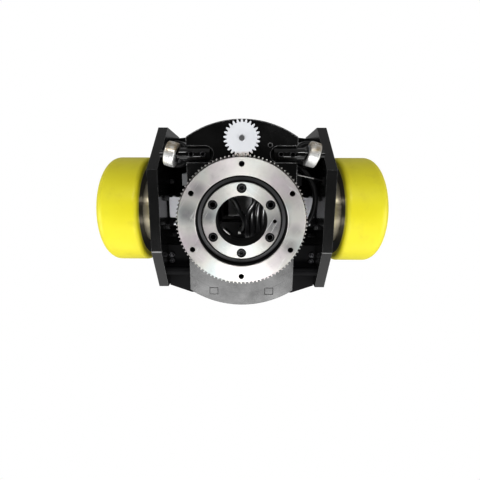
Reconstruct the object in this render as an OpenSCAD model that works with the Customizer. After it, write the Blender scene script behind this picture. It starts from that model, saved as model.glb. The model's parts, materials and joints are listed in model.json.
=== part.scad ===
// Drive wheel unit of a driverless truck: two geared wheels on a chassis, and a sprung, toothed slewing ring.
// Origin on the floor under the steering axis, +Z up, +Y towards the encoder pinion, wheel axles along X.

/* [Wheels] */
// Outside diameter of the tyres
wheel_d = 194; // [190:1:204]
// Width of each tyre
tyre_w = 70; // [62:1:76]
// Distance over the two outer tyre faces
track_over = 480; // [472:1:500]
// Radial thickness of the polyurethane tread
tread_t = 16; // [15.5:0.5:20]
// Radius of the tread's outer shoulder
shoulder_outer = 15; // [6:0.5:15]
// Radius of the tread's inner shoulder
shoulder_inner = 7; // [3:0.5:8]
// Radius of the rim's inboard flange
rim_flange_r = 84.4; // [82:0.2:86]
// Thickness of the rim's inboard flange
rim_flange_t = 4; // [3:0.5:6]
// Thickness of the rim barrel under the tread
rim_barrel_t = 8; // [5:0.5:9]
// Thickness of the wheel web
web_t = 12; // [8:1:16]
// Depth of the wheel web behind the outer tyre face
web_depth = 18; // [12:1:22]
// Number of wheel bolts
wheel_bolts = 6; // [4:1:8]
// Radius of the wheel bolt circle
wheel_bolt_r = 33; // [31:1:36]
// Diameter of the wheel bolts
wheel_bolt_d = 8; // [6:1:8]
// Radius of the spigot that centres the wheel
spigot_r = 20; // [16:1:22]

/* [Gearboxes and motors] */
// Radius of the gearbox drum
drum_r = 64; // [58:1:64]
// Radius of the gearbox output flange
output_r = 46; // [42:1:50]
// Thickness of the gearbox output flange
output_t = 9; // [6:1:12]
// Radius of the gearbox output shaft
output_shaft_r = 18; // [14:1:20]
// Length of the gearbox output shaft inside the drum
output_shaft_l = 28; // [20:1:32]
// Width across the square motor frame
motor_w = 60; // [56:1:64]
// Length of the motor behind its flange, without the tail cap
motor_l = 70; // [60:1:80]
// Length of the motor's tail cap
motor_cap_l = 28; // [20:1:34]
// Thickness of the motor flange
motor_flange_t = 8; // [6:1:10]
// Distance between motor screws, both ways
motor_screw_pitch = 49.5; // [47:0.5:50]
// Diameter of the motor screws
motor_screw_d = 5; // [4:1:5]
// Diameter of the gearbox screws
gearbox_screw_d = 6; // [5:1:6]
// Radius of the gearbox screw circle
gearbox_screw_r = 52; // [50:1:54]

/* [Chassis] */
// Distance between the inner faces of the side plates
chassis_w = 271; // [268:1:274]
// Thickness of the side plates
side_t = 17; // [14:1:18]
// Ground clearance of the chassis
clearance_z = 12; // [10:1:16]
// Height of the side plates' top edge
side_top = 183; // [178:1:186]
// Thickness of the belly plate
belly_t = 8; // [6:1:10]
// Height of the rear deck's top face
deck_top = 136; // [132:1:137]
// Thickness of the rear deck
deck_t = 8; // [6:1:10]
// Diameter of the frame screws
frame_screw_d = 6; // [5:1:6]

/* [Suspension] */
// Hinge axis behind the steering axis
hinge_back = 106; // [102:1:110]
// Height of the hinge axis
hinge_z = 150; // [150:1:153]
// Diameter of the hinge shaft
hinge_d = 16; // [12:1:16]
// Wall of the bronze hinge bushes
bush_wall = 2; // [1.5:0.5:2.5]
// Distance of each hinge ear from the middle
ear_x = 47.5; // [44:0.5:50]
// Thickness of the hinge ears
ear_t = 13; // [10:1:14]
// Distance of the spring towers from the middle
tower_x = 111; // [109:1:112]
// Distance of the spring towers ahead of the steering axis
tower_y = 102; // [100:1:104]
// Outside diameter of the spring towers
tower_d = 46; // [44:1:48]
// Wall of the spring towers
tower_wall = 3; // [2.5:0.5:4]
// Height of the spring towers' top edge
tower_top = 143; // [136:1:144]
// Wire diameter of the springs
spring_wire = 4.5; // [3:0.5:5]
// Number of spring coils
spring_turns = 8; // [6:1:10]
// Diameter of the rollers
roller_d = 40; // [36:1:42]
// Width of the rollers
roller_w = 17; // [15:1:18]
// Swivel of the left roller on its ball seat, in degrees
left_swivel = 15; // [0:1:18]
// Swivel of the right roller on its ball seat, in degrees
right_swivel = 16; // [0:1:18]
// Radius of the roller crown
crown_r = 60; // [50:5:120]
// Diameter of the roller shafts
roller_shaft_d = 20; // [18:1:22]
// Travel angle of the carrier at the bump stops, in degrees
travel_deg = 3.2; // [2:0.2:3.4]

/* [Carrier and slewing ring] */
// Radius of the round carrier plate
carrier_r = 156; // [154:1:160]
// Half width of the carrier plate over its flats
carrier_flat = 88; // [84:1:90]
// Thickness of the carrier plate
carrier_t = 16; // [14:1:18]
// Height of the carrier plate's top face
carrier_top = 183; // [180:1:186]
// Height of the slewing ring over the carrier plate
ring_h = 35; // [32:1:38]
// Gear module
gear_module = 2; // [1.9:0.05:2.1]
// Teeth of the slewing ring
ring_teeth = 100; // [100:4:104]
// Teeth of the encoder pinion
pinion_teeth = 25; // [23:2:25]
// Face width of the pinion
pinion_w = 15; // [10:1:18]
// Height of the ring's face over its teeth
face_step = 4.5; // [2:0.5:6]
// Radius of the wide opening in the toothed ring
recess_r = 71; // [70:0.5:72]
// Radius of the inner ring's top face
inner_face_r = 61; // [60:0.5:62]
// Drop of the inner ring's face below the toothed ring's face
inner_drop = 6.6; // [5:0.2:8]
// Radius of the cable bore
bore_r = 40; // [38:0.5:41]
// Radius of the ball circle
ball_circle_r = 66.25; // [66:0.25:66.5]
// Diameter of the balls
ball_d = 10; // [8:0.5:10]
// Number of balls
ball_count = 24; // [16:2:28]
// Radius of the tapped hole circle in the toothed ring
tapped_circle_r = 88; // [86:0.5:89]
// Diameter of the tapped holes
tapped_d = 8.5; // [6.8:0.1:8.6]
// Radius of the inner ring's screw circle
ring_screw_r = 51.4; // [50:0.2:52]
// Diameter of the inner ring's screws
ring_screw_d = 8; // [6:1:8]

/* [Encoder] */
// Diameter of the encoder body
encoder_d = 39; // [34:1:40]
// Length of the encoder body
encoder_l = 36; // [28:1:40]
// Diameter of the pinion shaft
pinion_shaft_d = 8; // [6:1:10]

/* [Hidden] */
$fn = 96;
// Radial clearance of a running shaft, and of a part seated in a recess
run_fit = 0.05;
// Gap between parts that nearly touch and move apart
near_gap = 0.3;
hex = 6;
facet_sides = 8;

axle_z = wheel_d / 2;
side_in = chassis_w / 2;
side_out = side_in + side_t;
tyre_out = track_over / 2;
tyre_in = tyre_out - tyre_w;
core_r = axle_z - tread_t;
bond_r = core_r + run_fit;
barrel_in_r = core_r - rim_barrel_t;
flange_lip_r = drum_r + 2.5;
web_out = tyre_out - web_depth;
web_in = web_out - web_t;
drum_end = web_in - output_t - near_gap;
rim_edge = 2;
rim_window_r = 57;
rim_window_d = 18;
hub_cap_lip = 3;
hub_cap_h = 6;
hub_cap_step = 2;
seal_lip = 0.5;

belly_top = clearance_z + belly_t;
belly_front = 141;
belly_front_corner = 137;
belly_rear = -136;
corner_x = 95;
// Outline of a side plate: breaks of its top edge
side_flat_front = 78;
side_flat_rear = -60;
side_front = 150.5;
side_front_z = 104.5;
side_front_low = 139.5;
side_rear = -138;
side_rear_z = 149;
deck_front = -62;
deck_rear = -155.5;
deck_corner = -141;
frame_screw_ys = [-105, 0, 105];
deck_screw_ys = [-128, -70];
screw_grip = 14;
deck_nut_x = side_in - 6.5;
deck_nut_ys = [-80, -92];
deck_nut_w = 1.6 * frame_screw_d;
deck_nut_h = 4;
deck_dome_d = 1.3 * frame_screw_d;
pilot_h = 3;
motor_pilot_r = 25;
drum_pilot_r = 40;
drum_pilot_h = 6;
// Turned groove around the gearbox drum, and the drum's nose
drum_band = 24;
drum_groove_w = 4;
drum_groove_t = 1.5;
drum_nose = 8;
motor_flange_corner = (motor_w - motor_screw_pitch) / 3.5;
rib_inset = 4;
rib_l = 18;
rib_w = 2;
rib_ys = [-18:9:18];
tail_w = motor_w - 2;
tail_corner = 7;
tail_face_w = motor_w - 8;
tail_face_t = 3;
tail_dimple_r = 4;
tail_dimple_t = 2;
head_ratio = 1.5;
head_gap = 1.55;
motor_body_w = motor_w - 1;
motor_head_r = motor_screw_d * head_ratio / 2;
motor_body_corner = motor_body_w - motor_screw_pitch + sqrt(2) * (motor_head_r + head_gap);
motor_end = side_in - motor_l;
cap_end = motor_end - motor_cap_l;
motor_plug = [16, 16, 24];
gland_r = 5.5;
gland_h = 5;

hinge_y = -hinge_back;
ear_rear = -136;
ear_front = -70;
ear_foot = 6;
ear_boss_r = hinge_d / 2 + bush_wall + 2.5;
tenon_w = 10.7;
tenon_groove = 1;
plate_edge = 1;
tenon_ys = [-130, -78];
shaft_seat = 8;
collar_w = 10;
collar_wall = 4;
bush_flange = 1.5;
bush_lip = 1.5;

carrier_bottom = carrier_top - carrier_t;
roller_z = carrier_top - 1;
roller_bore_r = roller_shaft_d / 2 - 2;
roller_edge = 3;
seat_r = 15.5;
seat_w = 16;
seat_out = tower_x + seat_w / 2;
clip_ring_t = 1.7;
clip_ring_w = 2.5;
neck_l = 13.5;
stub_l = 10;
shaft_in = 50;
shaft_flat = 0.5;
shaft_stub = 6;
shaft_screw_xs = [61, 79];
shaft_screw_d = 6;
pocket_gap = 3;

tower_r = tower_d / 2;
tower_in_r = tower_r - tower_wall;
cap_t = 5.5;
cap_edge = 5;
stem_r = 14;
foot_t = 8;
foot_y = 27;
foot_screw_y = 25 - frame_screw_d / 2;
foot_screw_x = tower_x - tower_r + 5;
plunger_top = roller_z - roller_d / 2 - near_gap;
piston_top = tower_top - near_gap;
piston_h = 27;
spring_r = tower_in_r - spring_wire / 2 - 1.5;
post_x = 89.5;
post_wx = 24;
post_y = 60;
post_wy = 20;
post_drop = (post_y + post_wy / 2 + hinge_back) * tan(travel_deg) + near_gap;

ring_top = carrier_top + ring_h;
ring_bottom = carrier_top + 2.5;
ring_pitch_r = gear_module * ring_teeth / 2;
root_depth = 1.25 * gear_module;
ring_face_r = ring_pitch_r - root_depth + 0.5;
teeth_top = ring_top - face_step;
recess_z = ring_top - 13;
outer_lip_r = ball_circle_r + 1.75;
inner_lip_r = ball_circle_r - 1.75;
inner_top = ring_top - inner_drop;
inner_step_z = recess_z - 2;
race_z = carrier_top + 11;
cage_t = 2.5;
cage_h = 13;
seal_t = 2;
seal_z = recess_z + near_gap;
seal_foot_r = max(inner_lip_r, inner_face_r + 2 * run_fit);
counterbore_gap = 0.7;
ring_bore_gap = 1.5;
ring_edge = 0.8;
dowel_d = 6;
ring_screw_bite = 12;
hole_step = 60;
hole_start = 90;
backlash_deg = 0.06;
pressure_angle = 20;
pinion_y = gear_module * (ring_teeth + pinion_teeth) / 2;
pinion_top = teeth_top + 1;
pinion_hub_r = 9;
pinion_hub_gap = 0.6;
shaft_end = 1.5;
encoder_bore_l = 15;
encoder_flange_t = 6;
encoder_step = 1;
shaft_way_d = pinion_shaft_d + 4;
witness_hole = [44.4, 116.3];
witness_d = 6;

cable_d = 9;
junction_h = 38;
junction = [[-50, 62, belly_top], [50, 90, belly_top + junction_h]];
lid_h = 5;
lid_over = 1.5;
socket_h = 34;
socket_block = [[-46, -76, belly_top], [46, -37, belly_top + socket_h]];
// Plugs on the socket block: X, Y, turn, length and width
plugs = [[-32, -57, -42, 18, 3], [-5, -58, 0, 6, 5], [14, -65, -20, 14, 5]];
plug_h = 9;
// Clip over the right motor cable: a tab on the side plate and a thin arm on edge
clip_y = 60;
clip_z = 168;
clip_tab = [3, 12, 18];
clip_arm = [44, 1.6, 4];
clip_turn = 168;
// Cable routes from the socket block or a motor, over the motors and into the junction box
left_route = [[-51.5, 37, 112], [-51.5, 37, 118], [-51.5, 37, 124], [-44, 37, 138], [-30, 33, 146],
    [-15, 25, 148], [-6, 8, 145], [2, -8, 138], [5, -20, 130], [2, -36, 108], [-3, -46, 84], [-3, -46, 69],
    [-3, -46, 54]];
side_route = [[51.5, -37, 112], [51.5, -37, 118], [51.5, -37, 124], [66, -40, 143], [96, -32, 156],
    [116, -8, 162], [124, 20, 163], [122, 44, 163], [114, 62, 161.5], [103, 75.5, 159], [89, 81, 148],
    [64, 84, 118], [48, 78, 94], [44, 76, 78], [44, 76, 68], [44, 76, 58]];
// Bundle cables: place beside the motors, lean and lift over the bore, and place at the junction box
bundle = [[9, 15, 10, 13], [19, 3, -3, 1], [29, 3, -1, 24], [39, 3, 0, 34]];
function bundle_route(c) = let (x = c[0], lean = c[1], lift = c[2], end = c[3])
    [[x, -52, 54], [x, -52, 66], [x, -52, 78], [x, -51, 108], [x + 1, -42, 132], [x + 1, -25, 144],
    [x, -9, 147], [x + 0.3 * lean, 6, 147 + 0.6 * lift], [x + lean, 26, 143 + lift],
    [(x + lean + end) / 2, 48, 128 + lift], [end, 68, 104 + lift / 2], [end, 76, 82], [end, 76, 70],
    [end, 76, 58]];

// Mirrors its children to the left for side -1
module at_side(side) {
    if (side < 0) mirror([1, 0, 0]) children();
    else children();
}

module both_sides() {
    for (side = [-1, 1]) at_side(side) children();
}

// Revolves a profile of radius and X about the wheel axle
module about_axle() {
    translate([0, 0, axle_z]) rotate([0, 90, 0]) rotate_extrude() children();
}

module ring_profile(r0, r1, x0, x1) {
    translate([r0, x0]) square([r1 - r0, x1 - x0]);
}

// A rod along X
module rod_x(r, x0, x1, y = 0, z = 0) {
    translate([x0, y, z]) rotate([0, 90, 0]) cylinder(r = r, h = x1 - x0);
}

// A socket head screw, head seat at the origin and shank along -Z
module socket_screw(d, grip) {
    difference() {
        union() {
            cylinder(d = d * head_ratio, h = d);
            translate([0, 0, -grip]) cylinder(d = d, h = grip);
        }
        translate([0, 0, d / 2]) cylinder(d = d * 0.95, h = d, $fn = hex);
    }
}

// The hole for a screw's shank
module screw_hole(d, depth) {
    translate([0, 0, -depth]) cylinder(d = d + 2 * run_fit, h = depth + 1);
}

// Places children on a circle, first copy at the start angle
module on_circle(r, count, start = 0) {
    for (i = [0:count - 1]) rotate(start + 360 * i / count) translate([r, 0, 0]) children();
}

// A block between two opposite corners
module block(corners) {
    translate(corners[0]) cube(corners[1] - corners[0]);
}

function unit(v) = v / norm(v);
function spline_point(a, b, c, d, t) = 0.5 * (2 * b + (c - a) * t + (2 * a - 5 * b + 4 * c - d) * t * t
    + (3 * b - a - 3 * c + d) * t * t * t);
// Catmull-Rom curve through the route's points
function smooth(p, steps) = concat([for (i = [0:len(p) - 2]) for (k = [0:steps - 1])
    spline_point(p[max(i - 1, 0)], p[i], p[i + 1], p[min(i + 2, len(p) - 1)], k / steps)], [p[len(p) - 1]]);
function tangent(q, i) = unit(q[min(i + 1, len(q) - 1)] - q[max(i - 1, 0)]);
// Carries one sideways direction along the curve without twisting it
function carried(q, u, i = 0) = i == len(q) ? [] :
    let (t = tangent(q, i), v = unit(u - (u * t) * t)) concat([v], carried(q, v, i + 1));

// A round tube swept along the points
module swept(q, d, sides = facet_sides) {
    u = carried(q, [0.9, 0.1, 0.2]);
    n = len(q);
    points = [for (i = [0:n - 1]) let (t = tangent(q, i), w = cross(t, u[i])) for (k = [0:sides - 1])
        q[i] + d / 2 * (cos(360 * k / sides) * u[i] + sin(360 * k / sides) * w)];
    walls = [for (i = [0:n - 2]) for (k = [0:sides - 1]) let (m = (k + 1) % sides)
        [i * sides + k, (i + 1) * sides + k, (i + 1) * sides + m, i * sides + m]];
    ends = [[for (k = [0:sides - 1]) k], [for (k = [0:sides - 1]) n * sides - 1 - k]];
    polyhedron(points, concat(walls, ends));
}

function involute(a) = tan(a) * 180 / PI - a;
// Half the angle of a tooth at radius r
function half_tooth(teeth, r, base) = 90 / teeth - backlash_deg + involute(pressure_angle)
    - involute(acos(min(1, base / r)));

// Outline of an involute spur gear with a tooth on +X
module gear_outline(teeth) {
    pitch = gear_module * teeth / 2;
    base = pitch * cos(pressure_angle);
    root = pitch - root_depth;
    tip = pitch + gear_module;
    start = max(base, root);
    flank = [start, (start + pitch) / 2, pitch, (pitch + tip) / 2, tip];
    left = [for (r = flank) [r, -half_tooth(teeth, r, base)]];
    right = [for (i = [len(flank) - 1:-1:0]) [flank[i], half_tooth(teeth, flank[i], base)]];
    foot = half_tooth(teeth, start, base);
    tooth = base > root ? concat([[root, -foot]], left, right, [[root, foot]]) : concat(left, right);
    polygon([for (i = [0:teeth - 1]) for (p = tooth)
        let (a = p[1] + 360 * i / teeth) [p[0] * cos(a), p[0] * sin(a)]]);
}

// Wheels

module tyre_profile() {
    difference() {
        intersection() {
            union() {
                ring_profile(bond_r, axle_z - shoulder_outer, tyre_in, tyre_out);
                ring_profile(bond_r, axle_z - shoulder_inner, tyre_in, tyre_out - shoulder_outer);
                ring_profile(bond_r, axle_z, tyre_in + shoulder_inner, tyre_out - shoulder_outer);
                translate([axle_z - shoulder_outer, tyre_out - shoulder_outer]) circle(shoulder_outer);
                translate([axle_z - shoulder_inner, tyre_in + shoulder_inner]) circle(shoulder_inner);
            }
            ring_profile(bond_r, axle_z, tyre_in, tyre_out);
        }
        ring_profile(core_r, rim_flange_r + run_fit, tyre_in - 1, tyre_in + rim_flange_t + run_fit);
    }
}

module tyre(side) {
    color("yellow") at_side(side) about_axle() tyre_profile();
}

module wheel_bolt_places() {
    translate([web_out, 0, axle_z]) rotate([0, 90, 0]) on_circle(wheel_bolt_r, wheel_bolts) children();
}

module rim(side) {
    color("#1b1b1d") at_side(side) difference() {
        about_axle() {
            ring_profile(barrel_in_r, core_r, tyre_in, tyre_out - rim_edge);
            ring_profile(flange_lip_r, rim_flange_r, tyre_in, tyre_in + rim_flange_t);
            ring_profile(spigot_r + run_fit, barrel_in_r, web_in, web_out);
        }
        wheel_bolt_places() screw_hole(wheel_bolt_d, web_t + 1);
        translate([web_in - 1, 0, axle_z]) rotate([0, 90, 0])
            on_circle(rim_window_r, wheel_bolts, 180 / wheel_bolts) cylinder(d = rim_window_d, h = web_t + 2);
    }
}

module output_flange(side) {
    color("silver") at_side(side) difference() {
        about_axle() {
            ring_profile(0, output_r, web_in - output_t, web_in);
            ring_profile(0, spigot_r, web_in, web_out - near_gap);
            ring_profile(0, output_shaft_r, drum_end - output_shaft_l, web_in);
        }
        wheel_bolt_places() screw_hole(wheel_bolt_d, web_t + output_t + 1);
    }
}

module wheel_bolts(side) {
    color("#2a2a2c") at_side(side) wheel_bolt_places() socket_screw(wheel_bolt_d, web_t + output_t);
}

module hub_cap(side) {
    color("#1b1b1d") at_side(side) about_axle() {
        ring_profile(0, spigot_r + hub_cap_lip, web_out, web_out + hub_cap_lip);
        ring_profile(0, spigot_r - hub_cap_step, web_out, web_out + hub_cap_h);
    }
}

// Gearboxes and motors

module motor_screw_places() {
    half = motor_screw_pitch / 2;
    for (y = [-half, half], z = [-half, half])
        translate([side_in - motor_flange_t, y, axle_z + z]) rotate([0, -90, 0]) children();
}

module gearbox_screw_places() {
    translate([side_in, 0, axle_z]) rotate([0, -90, 0]) on_circle(gearbox_screw_r, 6, 30) children();
}

module gearbox(side) {
    groove_x = side_out + drum_band;
    color("#b8b4a4") at_side(side) difference() {
        about_axle() difference() {
            union() {
                ring_profile(0, drum_r, side_out, groove_x);
                ring_profile(0, drum_r - drum_groove_t, side_out, groove_x + drum_groove_w);
                ring_profile(0, drum_r, groove_x + drum_groove_w, drum_end - drum_nose);
                ring_profile(0, output_r, side_out, drum_end);
                ring_profile(0, drum_pilot_r - run_fit, side_out - drum_pilot_h, side_out);
            }
            ring_profile(0, output_shaft_r + run_fit, drum_end - output_shaft_l - seal_lip, drum_end + 1);
        }
        gearbox_screw_places() screw_hole(gearbox_screw_d, side_t + screw_grip);
    }
}

module gearbox_screws() {
    color("#2a2a2c") both_sides() gearbox_screw_places()
        socket_screw(gearbox_screw_d, side_t + screw_grip - 1);
}

module square_prism(w, corner, x0, x1) {
    h = w / 2;
    c = h - corner;
    translate([x0, 0, axle_z]) rotate([90, 0, 90]) linear_extrude(x1 - x0)
        polygon([[h, c], [c, h], [-c, h], [-h, c], [-h, -c], [-c, -h], [c, -h], [h, -c]]);
}

module motor(side) {
    color("#232426") at_side(side) difference() {
        union() {
            square_prism(motor_w, motor_flange_corner, side_in - motor_flange_t, side_in);
            square_prism(motor_body_w, motor_body_corner, motor_end, side_in - motor_flange_t);
            rod_x(motor_pilot_r, side_in - 1, side_in + pilot_h, 0, axle_z);
        }
        motor_screw_places() screw_hole(motor_screw_d, motor_flange_t + 1);
        for (z = [axle_z - motor_w / 2, axle_z + motor_w / 2], y = rib_ys)
            translate([motor_end + rib_inset, y - rib_w / 2, z - rib_w / 2]) cube([rib_l, rib_w, rib_w]);
    }
}

module motor_cap(side) {
    color("#1b1b1d") at_side(side) difference() {
        union() {
            square_prism(tail_w, tail_corner, cap_end + tail_face_t, motor_end);
            square_prism(tail_face_w, tail_corner, cap_end, motor_end);
        }
        rod_x(tail_dimple_r, cap_end - 1, cap_end + tail_dimple_t, 0, axle_z);
    }
}

// One cable socket beside each motor's tail cap, on the side that its cable leaves from
module motor_plugs() {
    reach = (tail_w + motor_plug[1]) / 2;
    color("#151516") for (side = [-1, 1])
        translate([side * (cap_end + motor_end) / 2, -side * reach, axle_z - 2]) {
            cube(motor_plug, center = true);
            translate([0, 0, motor_plug[2] / 2]) cylinder(r = gland_r, h = gland_h);
        }
}

module motor_screws() {
    color("#8d8f92") both_sides() motor_screw_places()
        socket_screw(motor_screw_d, motor_flange_t + screw_grip - 4);
}

// Chassis

module side_outline() {
    polygon([[side_rear, clearance_z], [side_front_low, clearance_z], [side_front, side_front_z],
        [side_flat_front, side_top], [side_flat_rear, side_top], [side_rear, side_rear_z]]);
}

module frame_screw_places() {
    for (y = frame_screw_ys)
        translate([side_out, y, clearance_z + belly_t / 2]) rotate([0, 90, 0]) children();
    for (y = deck_screw_ys)
        translate([side_out, y, deck_top - deck_t / 2]) rotate([0, 90, 0]) children();
}

module frame_screw_holes() {
    both_sides() frame_screw_places() screw_hole(frame_screw_d, side_t + screw_grip);
}

module side_plate(side) {
    color("#17181a") at_side(side) difference() {
        translate([side_in, 0, 0]) rotate([90, 0, 90]) linear_extrude(side_t) side_outline();
        rod_x(motor_pilot_r + run_fit, side_in - 1, side_out + 1, 0, axle_z);
        rod_x(drum_pilot_r, side_out - drum_pilot_h - run_fit, side_out + 1, 0, axle_z);
        rod_x(hinge_d / 2 + run_fit, side_in - 1, side_in + shaft_seat, hinge_y, hinge_z);
        motor_screw_places() screw_hole(motor_screw_d, motor_flange_t + screw_grip - 3);
        gearbox_screw_places() screw_hole(gearbox_screw_d, side_t + 1);
        frame_screw_places() {
            screw_hole(frame_screw_d, side_t + 1);
            translate([0, 0, -frame_screw_d])
                cylinder(d = frame_screw_d * head_ratio + counterbore_gap, h = frame_screw_d + 1);
        }
    }
}

module frame_screws() {
    color("#2a2a2c") {
        both_sides() frame_screw_places() translate([0, 0, -frame_screw_d])
            socket_screw(frame_screw_d, side_t - frame_screw_d + screw_grip - 1);
        tower_screw_places() socket_screw(frame_screw_d, foot_t + belly_t - 1);
    }
}

// A plate between the side plates with tapered corners at one end
module tapered_plate(y_flat, y_corner, y_far, z, t) {
    translate([0, 0, z]) linear_extrude(t) polygon([[-side_in, y_far], [side_in, y_far], [side_in, y_corner],
        [corner_x, y_flat], [-corner_x, y_flat], [-side_in, y_corner]]);
}

module belly_plate() {
    color("#b9bbbd") difference() {
        tapered_plate(belly_front, belly_front_corner, belly_rear, clearance_z, belly_t);
        frame_screw_holes();
        tower_screw_places() screw_hole(frame_screw_d, foot_t + belly_t);
    }
}

module rear_deck() {
    color("#1b1b1d") difference() {
        tapered_plate(deck_rear, deck_corner, deck_front, deck_top - deck_t, deck_t);
        frame_screw_holes();
        both_sides() for (y = deck_nut_ys)
            translate([deck_nut_x, y, deck_top]) screw_hole(frame_screw_d, deck_t + 1);
    }
}

module deck_nuts() {
    color("silver") both_sides() for (y = deck_nut_ys) translate([deck_nut_x, y, deck_top]) {
        cylinder(d = deck_nut_w, h = deck_nut_h, $fn = hex);
        intersection() {
            translate([0, 0, deck_nut_h - 1]) sphere(d = deck_dome_d);
            cylinder(d = deck_nut_w, h = deck_nut_h + deck_dome_d);
        }
        translate([0, 0, -deck_t]) cylinder(d = frame_screw_d, h = deck_t);
    }
}

// Suspension

module tower_screw_places() {
    both_sides() for (y = [-foot_screw_y, foot_screw_y])
        translate([foot_screw_x, tower_y + y, belly_top + foot_t]) children();
}

module spring_tower(side) {
    color("#1b1b1d") difference() {
        at_side(side) difference() {
            translate([tower_x, tower_y, belly_top]) {
                cylinder(r = tower_r, h = tower_top - belly_top);
                translate([-tower_r, -foot_y, 0]) cube([2 * tower_r, 2 * foot_y, foot_t]);
            }
            translate([tower_x, tower_y, belly_top + foot_t]) cylinder(r = tower_in_r, h = tower_top);
        }
        tower_screw_places() screw_hole(frame_screw_d, foot_t + 1);
    }
}

module tower_caps() {
    color("silver") both_sides() translate([tower_x, tower_y, tower_top]) rotate_extrude() {
        ring_profile(stem_r + near_gap, tower_r, 0, cap_t - cap_edge);
        ring_profile(stem_r + near_gap, tower_r - cap_edge, 0, cap_t);
        intersection() {
            translate([tower_r - cap_edge, cap_t - cap_edge]) circle(cap_edge);
            ring_profile(stem_r + near_gap, tower_r, 0, cap_t);
        }
    }
}

module plunger(side) {
    color("#8d8f92") at_side(side) translate([tower_x, tower_y, 0]) {
        translate([0, 0, piston_top - piston_h]) cylinder(r = tower_in_r - run_fit, h = piston_h);
        translate([0, 0, piston_top - 1]) cylinder(r = stem_r, h = plunger_top - piston_top + 1);
    }
}

module spring(side) {
    low = belly_top + foot_t + spring_wire / 2 + near_gap;
    high = piston_top - piston_h - spring_wire / 2 - near_gap;
    turn_steps = 12;
    steps = spring_turns * turn_steps;
    coil = [for (i = [0:steps]) let (a = 360 * i / turn_steps)
        [tower_x + spring_r * cos(a), tower_y + spring_r * sin(a), low + (high - low) * i / steps]];
    color("#6f7276") at_side(side) swept(coil, spring_wire, hex);
}

module bump_stops() {
    color("#b9bbbd") both_sides() translate([post_x - post_wx / 2, post_y - post_wy / 2, belly_top])
        cube([post_wx, post_wy, carrier_bottom - post_drop - belly_top]);
}

module hinge_shaft() {
    reach = side_in + shaft_seat - near_gap;
    color("silver") rod_x(hinge_d / 2, -reach, reach, hinge_y, hinge_z);
}

module hinge_collars() {
    x0 = ear_x + ear_t / 2 + bush_flange + near_gap;
    color("#1b1b1d") both_sides() difference() {
        rod_x(hinge_d / 2 + collar_wall, x0, x0 + collar_w, hinge_y, hinge_z);
        rod_x(hinge_d / 2 + run_fit, x0 - 1, x0 + collar_w + 1, hinge_y, hinge_z);
    }
}

// Cables and their boxes

module junction_box() {
    over = [lid_over, lid_over, 0];
    color("#1b1b1d") {
        block(junction);
        block([[junction[0][0], junction[0][1], junction[1][2] - lid_h] - over, junction[1] + over]);
    }
}

module socket_block() {
    color("#1b1b1d") block(socket_block);
}

module connector_plugs() {
    color("white") for (p = plugs) translate([p[0], p[1], socket_block[1][2]]) rotate(p[2])
        translate([-p[3] / 2, -p[4] / 2, 0]) cube([p[3], p[4], plug_h]);
}

module cable_clip() {
    color("#8d8f92") {
        translate([side_in - clip_tab[0], clip_y - clip_tab[1] / 2, clip_z + clip_arm[2] - clip_tab[2]])
            cube(clip_tab);
        translate([side_in - 1, clip_y, clip_z]) rotate(clip_turn) translate([0, -clip_arm[1] / 2, 0])
            cube(clip_arm);
    }
}

module motor_cable_left() {
    color("#202022") swept(smooth(left_route, 3), cable_d);
}

module motor_cable_right() {
    color("#202022") swept(smooth(side_route, 3), cable_d);
}

module cable_bundle() {
    color("#202022") for (c = bundle) swept(smooth(bundle_route(c), 2), cable_d);
}

// Carrier

module ear_tenon_places() {
    both_sides() for (y = tenon_ys)
        translate([ear_x - ear_t / 2, y - tenon_w / 2, carrier_bottom]) children();
}

module roller_shaft_place(side) {
    at_side(side) translate([0, tower_y, roller_z]) children();
}

// The round-ended pocket that a roller shaft lies in
module shaft_pocket() {
    pocket_r = roller_shaft_d / 2 + pocket_gap;
    end_x = shaft_in - near_gap + sqrt(pow(pocket_r, 2) - pow(roller_shaft_d / 2, 2));
    translate([0, 0, -roller_shaft_d / 2 - run_fit]) {
        translate([end_x, 0, 0]) cylinder(r = pocket_r, h = roller_shaft_d);
        translate([end_x, -pocket_r, 0]) cube([carrier_flat, 2 * pocket_r, roller_shaft_d]);
    }
}

module carrier_blank() {
    intersection() {
        union() {
            translate([0, 0, carrier_bottom]) cylinder(r = carrier_r, h = carrier_t - plate_edge);
            translate([0, 0, carrier_top - plate_edge])
                cylinder(r1 = carrier_r, r2 = carrier_r - plate_edge, h = plate_edge);
        }
        translate([-carrier_flat, -carrier_r - 1, carrier_bottom - 1])
            cube([2 * carrier_flat, 2 * carrier_r + 2, carrier_t + 2]);
    }
}

module carrier_plate() {
    color("#17181a") difference() {
        carrier_blank();
        cylinder(r = bore_r, h = ring_top);
        translate([0, pinion_y, carrier_bottom - 1]) cylinder(d = shaft_way_d, h = carrier_t + 2);
        translate([witness_hole[0], witness_hole[1], carrier_bottom - 1])
            cylinder(d = witness_d, h = carrier_t + 2);
        ear_tenon_places() translate([-run_fit, -run_fit, -1])
            cube([ear_t + 2 * run_fit, tenon_w + 2 * run_fit, carrier_t + 2]);
        ear_tenon_places() translate([-tenon_groove, -tenon_groove, carrier_t - tenon_groove])
            cube([ear_t + 2 * tenon_groove, tenon_w + 2 * tenon_groove, carrier_t]);
        for (side = [-1, 1]) roller_shaft_place(side) shaft_pocket();
        ring_screw_places() screw_hole(ring_screw_d, inner_top);
        for (side = [-1, 1]) roller_screw_places(side) screw_hole(shaft_screw_d, roller_shaft_d + 2);
    }
}

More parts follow.
